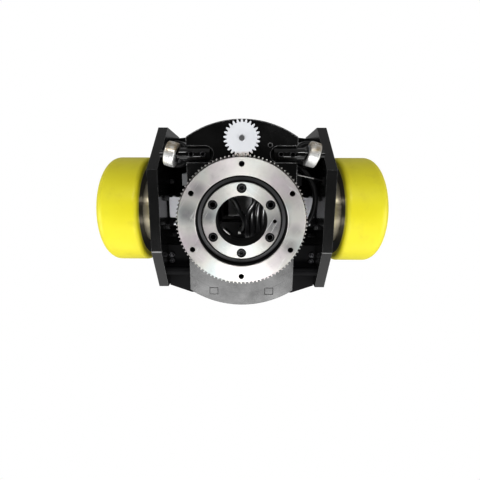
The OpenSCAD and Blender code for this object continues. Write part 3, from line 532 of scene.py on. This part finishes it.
def band(f, level, low, high, soft):
    """One between two levels and zero outside them."""
    return f.step(level, low - soft / 2, low + soft / 2) * f.step(level, high + soft / 2, high - soft / 2)


def cased_seal():
    f = Finish("cased_seal", specular_ior_level=0.25)
    place = f.place()
    # Painted reflection: the case's grey band is lighter towards the sides along X.
    painted_reflection_side = abs(f.along(place, "X") / SEAL_CASE_R[1])
    case = band(f, f.radius(place), *SEAL_CASE_R, 0.6 * MM) * (0.3 + painted_reflection_side * 0.6)
    f.set("Base Color", f.blend(case, grey(0.003), colour(0.16, 0.16, 0.165)))
    f.set("Metallic", case * 0.9)
    f.set("Roughness", 0.30 + f.noise(60, 4) * 0.16)
    return f.material


def clip_black_near_foot():
    f = Finish("clip_black_near_foot")
    # The arm is black outward of CLIP_BLACK_X and bare metal inward of it.
    bare = f.step(f.along(f.place(), "X"), CLIP_BLACK_X + 0.25 * MM, CLIP_BLACK_X - 0.25 * MM)
    f.set("Base Color", f.blend(bare, grey(0.004), colour(0.72, 0.72, 0.70)))
    f.set("Metallic", bare * 0.8)
    f.set("Roughness", 0.28 + f.noise(200, 2) * 0.12)
    return f.material


def plate_with_painted_light_pad():
    f = Finish("plate_with_painted_light_pad", specular_ior_level=0.3)
    place = f.place()
    # The pale pad under the bore is partly bare aluminium and partly a painted pool of the light that falls
    # through the bore.
    painted_light_pad = band(f, f.along(place, "X"), *PAINTED_LIGHT_PAD_X, PAINTED_LIGHT_PAD_SOFT) * band(f, f.along(place, "Y"), *PAINTED_LIGHT_PAD_Y, PAINTED_LIGHT_PAD_SOFT)
    cloud = f.noise(50, 4)
    f.set("Base Color", f.blend(painted_light_pad, grey(0.005), f.blend(cloud, grey(0.78), grey(0.90))))
    f.set("Roughness", 0.20 + cloud * 0.12)
    f.bump(f.noise(1500, 2), 0.04 * MM, 0.25)
    return f.material


def stop_posts():
    f = Finish("stop_posts", specular_ior_level=0.25)
    # The posts on the +X side are dark and those on the -X side bare.
    black = f.step(f.along(f.place(), "X"), -0.5 * MM, 0.5 * MM)
    lines = f.noise(60, 4, f.place(scale=(1, 14, 1)))
    bare = f.blend(f.noise(24, 4), colour(0.48, 0.49, 0.50), colour(0.62, 0.63, 0.64))
    f.set("Base Color", f.blend(black, bare, colour(0.010, 0.010, 0.011)))
    f.set("Metallic", 1 - black)
    f.set("Roughness", 0.28 + lines * 0.16)
    f.bump(lines, 0.08 * MM, 0.4)
    return f.material


seal_finish = cased_seal()
clip_finish = clip_black_near_foot()
belly_finish = plate_with_painted_light_pad()
post_finish = stop_posts()
print("pad on the belly plate:", [round((high - low) / MM) for low, high in (PAINTED_LIGHT_PAD_X, PAINTED_LIGHT_PAD_Y)], "mm")

# %% [markdown]
# ## White nylon
# The pinion is cut from a nylon bar. Its faces keep faint turning marks, and it picks up brown grease
# where it meets the ring. Object coordinates start at the middle of the whole unit, so a Mapping node
# centres the pattern on the pinion's own axis.

# %% Pinion finish
pinion_low, pinion_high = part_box("encoder_pinion")
PINION_CENTRE = (pinion_low + pinion_high) / 2
# Distances from the pinion's axis between which the grease sets in
GREASED_Y = (-18.5 * MM, -23.5 * MM)


def white_nylon():
    f = Finish("white_nylon", specular_ior_level=0.4)
    place = f.place(tuple(PINION_CENTRE))
    marks = f.marks(f.radius(place) * 1200, 2)
    grease = f.step(f.along(place, "Y"), *GREASED_Y) * f.patches(160, 3, 0.30, 0.62, least=0.2)
    plain = f.blend(f.noise(40, 3), colour(0.60, 0.61, 0.63), colour(0.68, 0.69, 0.71))
    f.set("Base Color", f.blend(grease * 0.75, plain, colour(0.26, 0.17, 0.09)))
    f.set("Roughness", 0.40 + marks * 0.14)
    f.bump(marks, 0.03 * MM, 0.4)
    return f.material


finishes["white_nylon"] = white_nylon()
print("pinion's axis at", [round(c / MM, 1) for c in PINION_CENTRE.xy], "mm")

# %% [markdown]
# ## Brushed rollers
# The rollers are ground, and rolling has brushed them nearly white. Old grease has browned the side that
# stands to the front. The streaks are a noise that changes fast along X and slowly along Y, so they run
# roughly around the rollers.

# %% Roller finish
roller_low, roller_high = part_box("roller_left")
ROLLER_Y = (roller_low.y + roller_high.y) / 2


def brushed_roller():
    f = Finish("brushed_roller", metallic=0.55)
    place = f.place()
    forward = f.along(place, "Y") - ROLLER_Y
    smear = f.patches(70, 5, 0.40, 0.66, rough=0.7, place=f.place(scale=(1.6, 1, 1)))
    streak = f.marks(f.along(place, "X") * 900, 4, forward * 60)
    brown = f.step(forward, 0.0, 6.2 * MM) * f.patches(110, 4, 0.30, 0.60, least=0.25)
    clean = f.blend(smear * 0.35 + streak * 0.2, colour(0.90, 0.90, 0.89), colour(0.50, 0.50, 0.48))
    f.set("Base Color", f.blend(brown * 0.9, clean, colour(0.30, 0.235, 0.14)))
    f.set("Roughness", 0.26 + smear * 0.20)
    f.bump(streak, 0.06 * MM, 0.5)
    return f.material


finishes["roller_chrome"] = brushed_roller()
print("rollers' middle at y =", round(ROLLER_Y / MM, 1), "mm")

# %% [markdown]
# ## Finishes go to the solids
# The record says which finish each node has, so one loop serves them all. A few nodes have a finish of
# their own, which comes before the record's.

# %% Assign finishes
OWN_FINISH = {
    "carrier_plate": carrier_finish,
    "hinge_ears": carrier_finish,
    "side_plate_left": side_plate_finish,
    "side_plate_right": side_plate_finish,
    "roller_shafts": ground_finish,
    "hinge_shaft": finishes["motor_paint"],
    "ring_seal": seal_finish,
    "deck_nuts": nut_finish,
    "cable_clip": clip_finish,
    "belly_plate": belly_finish,
    "bump_stops": post_finish,
}
for part in frame["record"]["subparts"]:
    solid = nodes[part["node"]]
    solid.data.materials.clear()
    solid.data.materials.append(OWN_FINISH.get(part["node"], finishes[part["material_slot"]]))
print("finishes:", len(finishes), "and", len(OWN_FINISH), "nodes with their own")

# %% [markdown]
# ## From a bmesh to a piece
# Every new piece is modelled in place, in metres. Its normals are made to point outwards, and it rides on
# the body that carries it. Where a piece stands for several solids in one node, their boxes say where
# each goes.

# %% Piece helpers
SHARP_ANGLE = math.radians(35)


def make_piece(name, bm, body, slot, replaced=(), smooth=True, material=None):
    bmesh.ops.recalc_face_normals(bm, faces=bm.faces)
    mesh = bpy.data.meshes.new(name)
    bm.to_mesh(mesh)
    bm.free()
    for face in mesh.polygons:
        face.use_smooth = smooth
    mesh.materials.append(material or finishes[slot])
    piece = bpy.data.objects.new(name, mesh)
    scene.collection.objects.link(piece)
    if smooth:
        mesh.set_sharp_from_angle(angle=SHARP_ANGLE)
    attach(piece, body)
    if replaced:
        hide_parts(*replaced)
    return piece


def islands(node):
    """The boxes of a node's separate solids, in the same order each run."""
    bm = bmesh.new()
    bm.from_mesh(nodes[node].data)
    bmesh.ops.remove_doubles(bm, verts=bm.verts, dist=0.001 * MM)
    seen = set()
    boxes = []
    for first in bm.verts:
        if first in seen:
            continue
        seen.add(first)
        group = [first]
        for vert in group:
            for edge in vert.link_edges:
                other = edge.other_vert(vert)
                if other not in seen:
                    seen.add(other)
                    group.append(other)
        low = Vector(min(v.co[k] for v in group) for k in range(3))
        high = Vector(max(v.co[k] for v in group) for k in range(3))
        boxes.append((low, high))
    bm.free()
    return boxes


print("ring screws found:", len(islands("ring_screws")))

# %% [markdown]
# ## Socket screws
# A socket screw's head is a knurled drum with a bevelled rim and a hexagonal socket. Bump could draw the
# knurl, but its rim would stay smooth, so it is in the mesh. Circles and two hexagons are stacked from the
# shank's end to the socket's floor, and bridges join each to the next. Every other vertex of the drum is
# drawn in a little.

# %% Screw shape
HEAD_RATIO = 1.5
KNURL_POINTS = 40
# Sizes in shank diameters. The head's edge is a row of insets from its rim and heights over its seat
KNURL_DEPTH = 0.022
HEAD_EDGE = ((0.05, 0), (0, 0.05), (0, 0.80), (0.04, 0.90), (0.12, 1))
SOCKET_MOUTH_R = 0.54
SOCKET_R = 0.50
SOCKET_HEIGHTS = (0.95, 0.45)
# The rings that are knurled, counted from the shank's end
KNURLED_RINGS = slice(3, 5)


def loop_edges(bm, loop):
    """The edges between a closed loop's vertices."""
    found = set(loop)
    return [e for e in bm.edges if e.verts[0] in found and e.verts[1] in found]


def ring_of(bm, count, r, z):
    made = bmesh.ops.create_circle(bm, segments=count, radius=r, cap_ends=False)["verts"]
    bmesh.ops.translate(bm, verts=made, vec=(0, 0, z))
    return made


def join_rings(bm, first, second):
    edges = loop_edges(bm, first) + loop_edges(bm, second)
    bmesh.ops.bridge_loops(bm, edges=edges)


def add_screw(bm, head_d, grip, place):
    """A screw with its seat at the origin and its shank along -Z, then moved to its place."""
    screw = bmesh.new()
    shank_d = head_d / HEAD_RATIO
    head_r = head_d / 2
    outline = [(shank_d / 2, -grip), (shank_d / 2, 0)]
    outline += [(head_r - inset * shank_d, height * shank_d) for inset, height in HEAD_EDGE]
    outline.append((SOCKET_MOUTH_R * shank_d, shank_d))
    rings = [ring_of(screw, KNURL_POINTS, r, z) for r, z in outline]
    rings += [ring_of(screw, 6, SOCKET_R * shank_d, height * shank_d) for height in SOCKET_HEIGHTS]
    for ring in rings[KNURLED_RINGS]:
        for vert in ring[1::2]:
            vert.co.xy *= (head_r - KNURL_DEPTH * shank_d) / head_r
    for first, second in zip(rings, rings[1:]):
        join_rings(screw, first, second)
    bmesh.ops.contextual_create(screw, geom=rings[0])
    bmesh.ops.contextual_create(screw, geom=rings[-1])
    bmesh.ops.transform(screw, matrix=place, verts=screw.verts)
    mesh = bpy.data.meshes.new("screw")
    screw.to_mesh(mesh)
    screw.free()
    bm.from_mesh(mesh)
    bpy.data.meshes.remove(mesh)


print("points around a head:", KNURL_POINTS)

# %% [markdown]
# ## Screws in their places
# Typed places could drift away from the solids, so the solids say where the screws go. The long side of a
# solid's box is the screw's axis, and the short sides are as wide as its head. Heads point up, or along X
# away from the middle of the unit or towards it.

# %% Screws
def screw_place(low, high, outward):
    """Head size, grip and place of the screw in a box.

    Along X, outward is 1 for a head that points away from the middle and -1 for one that points to it.
    """
    size = high - low
    axis = max(range(3), key=lambda k: size[k])
    head_d = min(size)
    middle = (low + high) / 2
    sign = 1
    if axis == 0:
        sign = outward if middle.x > 0 else -outward
    direction = Vector((0, 0, 0))
    direction[axis] = sign
    head_h = head_d / HEAD_RATIO
    seat = middle + direction * (size[axis] / 2 - head_h)
    turn = direction.to_track_quat("Z", "Y").to_matrix().to_4x4()
    return head_d, size[axis] - head_h, Matrix.Translation(seat) @ turn


SCREWS = {
    "ring_screws": ("carrier", "black_oxide", 1),
    "roller_shaft_screws": ("carrier", "black_oxide", 1),
    "frame_screws": ("chassis", "black_oxide", 1),
    "gearbox_screws": ("chassis", "black_oxide", -1),
    "motor_screws": ("chassis", "zinc_steel", -1),
    "wheel_bolts_left": ("left_wheel", "zinc_steel", 1),
    "wheel_bolts_right": ("right_wheel", "zinc_steel", 1),
}
for node, (body, slot, outward) in SCREWS.items():
    bm = bmesh.new()
    found = islands(node)
    for low, high in found:
        add_screw(bm, *screw_place(low, high, outward))
    make_piece("knurled_" + node, bm, body, slot, [node])
    print(node, "screws:", len(found))

# %% [markdown]
# ## Cables
# The cables are held inside the chassis from end to end. A chain of cylinders would show its joints, and a
# curve with a bevel stays round through every bend. Each runs through the same points as its solid, which
# are given in millimetres.

# %% Cables
CABLE_D = 9 * MM
LEFT_ROUTE = [(-51.5, 37, 112), (-51.5, 37, 118), (-51.5, 37, 124), (-44, 37, 138), (-30, 33, 146),
              (-15, 25, 148), (-6, 8, 145), (2, -8, 138), (5, -20, 130), (2, -36, 108), (-3, -46, 84),
              (-3, -46, 69), (-3, -46, 54)]
SIDE_ROUTE = [(51.5, -37, 112), (51.5, -37, 118), (51.5, -37, 124), (66, -40, 143), (96, -32, 156),
              (116, -8, 162), (124, 20, 163), (122, 44, 163), (114, 62, 161.5), (103, 75.5, 159),
              (89, 81, 148), (64, 84, 118), (48, 78, 94), (44, 76, 78), (44, 76, 68), (44, 76, 58)]
# Place beside the motors, lean and lift over the bore, place at the junction box
BUNDLE = ((9, 15, 10, 13), (19, 3, -3, 1), (29, 3, -1, 24), (39, 3, 0, 34))


def bundle_route(x, lean, lift, end):
    return [(x, -52, 54), (x, -52, 66), (x, -52, 78), (x, -51, 108), (x + 1, -42, 132), (x + 1, -25, 144),
            (x, -9, 147), (x + 0.3 * lean, 6, 147 + 0.6 * lift), (x + lean, 26, 143 + lift),
            ((x + lean + end) / 2, 48, 128 + lift), (end, 68, 104 + lift / 2), (end, 76, 82), (end, 76, 70),
            (end, 76, 58)]


def spline_points(route, steps=8):
    """A Catmull-Rom curve through the route's points, in metres."""
    knots = [Vector(knot) * MM for knot in route]
    padded = [knots[0], *knots, knots[-1]]
    points = []
    for before, start, end, after in zip(padded, padded[1:], padded[2:], padded[3:]):
        for k in range(steps):
            t = k / steps
            bend = 2 * before - 5 * start + 4 * end - after
            twist = 3 * start - before - 3 * end + after
            points.append(0.5 * (2 * start + (end - before) * t + bend * t ** 2 + twist * t ** 3))
    return points + [knots[-1]]


def make_cable(name, routes, node):
    curve = bpy.data.curves.new(name, "CURVE")
    curve.dimensions = "3D"
    curve.bevel_depth = CABLE_D / 2
    curve.bevel_resolution = 4
    curve.use_fill_caps = True
    for route in routes:
        points = spline_points(route)
        spline = curve.splines.new("POLY")
        spline.points.add(len(points) - 1)
        for knot, place in zip(spline.points, points):
            knot.co = (*place, 1)
        spline.use_smooth = True
    curve.materials.append(finishes["cable_jacket"])
    cable = bpy.data.objects.new(name, curve)
    scene.collection.objects.link(cable)
    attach(cable, "chassis")
    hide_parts(node)
    print(name, "cables:", len(routes))


make_cable("left_motor_lead", [LEFT_ROUTE], "motor_cable_left")
make_cable("right_motor_lead", [SIDE_ROUTE], "motor_cable_right")
make_cable("signal_leads", [bundle_route(*cable) for cable in BUNDLE], "cable_bundle")

# %% [markdown]
# ## Coil springs
# A compression spring is one wire wound at an even pitch, with a flat turn at each end. A Screw modifier
# has one pitch only, so a spin with a step along Z winds it in three goes: one slow turn, the open turns,
# and one slow turn again.

# %% Springs
SPRING_WIRE = 4.5 * MM
OPEN_TURNS = 6
TURN_STEPS = 32
WIRE_SIDES = 12
CLOSED_PITCH = 1.05 * SPRING_WIRE


def wind(bm, profile, axis_point, turns, rise):
    steps = int(turns * TURN_STEPS)
    done = bmesh.ops.spin(bm, geom=profile, cent=axis_point, axis=(0, 0, 1), dvec=(0, 0, rise / steps),
                          angle=2 * math.pi * turns, steps=steps)
    return done["geom_last"]


for side in ("left", "right"):
    low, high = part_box("spring_" + side)
    centre = (low + high) / 2
    wire_r = SPRING_WIRE / 2
    coil_r = (high.x - low.x) / 2 - wire_r
    bm = bmesh.new()
    start = bmesh.ops.create_circle(bm, segments=WIRE_SIDES, radius=wire_r, cap_ends=False)["verts"]
    bmesh.ops.rotate(bm, verts=start, cent=(0, 0, 0), matrix=Matrix.Rotation(math.pi / 2, 3, "X"))
    bmesh.ops.translate(bm, verts=start, vec=(centre.x + coil_r, centre.y, low.z + wire_r))
    profile = start + loop_edges(bm, start)
    open_rise = high.z - low.z - SPRING_WIRE - 2 * CLOSED_PITCH
    for turns, rise in ((1, CLOSED_PITCH), (OPEN_TURNS, open_rise), (1, CLOSED_PITCH)):
        profile = wind(bm, profile, centre, turns, rise)
    bmesh.ops.contextual_create(bm, geom=start)
    bmesh.ops.contextual_create(bm, geom=[v for v in profile if isinstance(v, bmesh.types.BMVert)])
    spring = make_piece("coil_spring_" + side, bm, "chassis", "spring_steel", ["spring_" + side])
    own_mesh(spring)
    print("spring", side, "height:", round((high.z - low.z) / MM, 1), "mm")

# %% [markdown]
# ## Motor labels
# A pale foil label is stuck to the top of each motor, and it is left blank. A bare plane would have no edge
# to catch the light, so one grid square gets rounded corners and is extruded to the foil's thickness.

# %% Labels
LABEL_X = 44 * MM
LABEL_Y = 38 * MM
LABEL_T = 0.25 * MM
LABEL_CORNER = 2 * MM
GLUE_T = 0.02 * MM
LABEL_GAP = 2.5 * MM
LABEL_AHEAD = 7 * MM


def label_foil():
    f = Finish("label_foil", specular_ior_level=0.5)
    cloud = f.noise(55, 3)
    f.set("Base Color", f.blend(cloud, colour(0.86, 0.86, 0.90), colour(0.94, 0.94, 0.97)))
    f.set("Roughness", 0.30 + cloud * 0.15)
    f.bump(f.noise(200, 2), 0.06 * MM, 0.3)
    return f.material


foil = label_foil()
for side, sign in (("left", -1), ("right", 1)):
    motor_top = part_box("motor_" + side)[1].z
    plate_low, plate_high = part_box("side_plate_" + side)
    wall = plate_high.x if sign < 0 else plate_low.x
    bm = bmesh.new()
    bmesh.ops.create_grid(bm, x_segments=1, y_segments=1, size=0.5)
    bmesh.ops.scale(bm, vec=(LABEL_X, LABEL_Y, 1), verts=bm.verts)
    bmesh.ops.bevel(bm, geom=bm.verts[:], offset=LABEL_CORNER, offset_type="OFFSET", segments=4,
                    profile=0.5, affect="VERTICES", material=-1)
    raised = bmesh.ops.extrude_face_region(bm, geom=bm.faces[:])["geom"]
    top = [v for v in raised if isinstance(v, bmesh.types.BMVert)]
    bmesh.ops.translate(bm, vec=(0, 0, LABEL_T), verts=top)
    place = (wall - sign * (LABEL_GAP + LABEL_X / 2), LABEL_AHEAD, motor_top + GLUE_T)
    bmesh.ops.translate(bm, vec=place, verts=bm.verts)
    make_piece("motor_label_" + side, bm, "chassis", "white_plastic", smooth=False, material=foil)
    print("label", side, "at", [round(c / MM, 1) for c in place])

# %% [markdown]
# ## Floor
# The unit stands on a white sheet, which glows by itself so that it is white all over, as in a picture
# that was cut out. A glowing sheet would also light the part from all sides, so only the camera's own
# rays see it at its full brightness.

# %% Floor
FLOOR_SIZE = 8
FLOOR_GLOW = 0.45

bm = bmesh.new()
bmesh.ops.create_grid(bm, x_segments=1, y_segments=1, size=FLOOR_SIZE / 2)
sheet_mesh = bpy.data.meshes.new("white_sheet")
bm.to_mesh(sheet_mesh)
bm.free()
sheet = bpy.data.objects.new("white_sheet", sheet_mesh)
scene.collection.objects.link(sheet)
sheet_finish = Finish("white_sheet", base_color=grey(0.0), roughness=0.9, specular_ior_level=0.0,
                      emission_strength=1.0)
seen = sheet_finish.node("ShaderNodeLightPath", output="Is Camera Ray")
sheet_finish.set("Emission Color", sheet_finish.blend(seen, grey(FLOOR_GLOW), grey(1.0)))
sheet_mesh.materials.append(sheet_finish.material)
print("sheet:", FLOOR_SIZE, "m wide")

# %% [markdown]
# ## Lamps
# Large soft lamps stand to the rear and to the front, where the carrier plate and the rings mirror them
# into the lens, and two more stand at the sides. Little light falls through the bore, so a narrow lamp is
# linked to the pieces under it and lights nothing else.

# %% Lamps
LAMP_AIM = Vector((0, 0, 0.15))
LAMP_AWAY = 1.6
REAR_ANGLE = math.radians(31)
FRONT_ANGLE = math.radians(38)
STRIP_ANGLE = math.radians(32)
# Direction from the part, width and length in metres, and watts
LAMPS = {
    "rear_lamp": ((0, -math.sin(REAR_ANGLE), math.cos(REAR_ANGLE)), (0.8, 0.62), 8),
    "front_lamp": ((0, math.sin(FRONT_ANGLE), math.cos(FRONT_ANGLE)), (1.2, 0.22), 8.5),
    "strip_lamp": ((-math.sin(STRIP_ANGLE), 0, math.cos(STRIP_ANGLE)), (0.16, 1.0), 60),
    "left_lamp": ((-1, -0.25, 0.5), (0.9, 0.7), 7.5),
    "right_lamp": ((1, -0.25, 0.5), (0.9, 0.7), 7.5),
}
UNDER_BORE_PIECES = ("left_motor_lead", "signal_leads")
UNDER_BORE_NODES = ("belly_plate", "connector_plugs", "socket_block", "junction_box")


def soft_lamp(name, direction, size, watts):
    lamp = bpy.data.lights.new(name, "AREA")
    lamp.shape = "RECTANGLE"
    lamp.size, lamp.size_y = size
    lamp.energy = watts
    holder = bpy.data.objects.new(name, lamp)
    towards = Vector(direction).normalized()
    holder.location = LAMP_AIM + towards * LAMP_AWAY
    holder.rotation_euler = towards.to_track_quat("Z", "Y").to_euler()
    scene.collection.objects.link(holder)
    return holder


lamps = {name: soft_lamp(name, *settings) for name, settings in LAMPS.items()}
inside = bpy.data.collections.new("strip_lamp_inside")
for name in UNDER_BORE_PIECES:
    inside.objects.link(bpy.data.objects[name])
for node in UNDER_BORE_NODES:
    inside.objects.link(nodes[node])
lamps["strip_lamp"].light_linking.receiver_collection = inside
print("lamps:", list(lamps))

# %% [markdown]
# ## Sky
# The sky is bright at the horizon, dim overhead and dimmer to the front, as in a room where the
# photographer leans over the part. It is a small node network too, so it borrows the helpers of the
# finishes. The photograph has deep blacks, as if a contrast curve had been laid over it, and a gamma
# below one does the same.

# %% Sky
# Sine of the height over the horizon, and the brightness there
SKY_STOPS = ((0.0, 1.0), (0.80, 0.62), (0.90, 0.10), (0.97, 0.04))
SKY_REAR = 1.65
SKY_FRONT = 0.28
CONTRAST_GAMMA = 0.82


class Room(Finish):
    """The world around the part, made with the same helpers as a material."""

    def __init__(self, name):
        self.world = bpy.data.worlds.new(name)
        self.world.use_nodes = True
        self.tree = self.world.node_tree
        self.shader = self.tree.nodes["Background"]


room = Room("room")
towards = room.node("ShaderNodeTexCoord", output="Generated")
share = room.node("ShaderNodeMapRange", None, {
    "Value": room.along(towards, "Y"), "From Min": -1, "From Max": 1,
    "To Min": SKY_REAR, "To Max": SKY_FRONT})
room.set("Color", room.node("ShaderNodeVectorMath", {"operation": "SCALE"}, {
    0: room.ramp(room.along(towards), *SKY_STOPS), "Scale": share}))
room.set("Strength", 1.0)
scene.world = room.world
scene.view_settings.view_transform = "Standard"
scene.view_settings.gamma = CONTRAST_GAMMA
print("sky to the rear and front:", SKY_REAR, SKY_FRONT)

# %% [markdown]
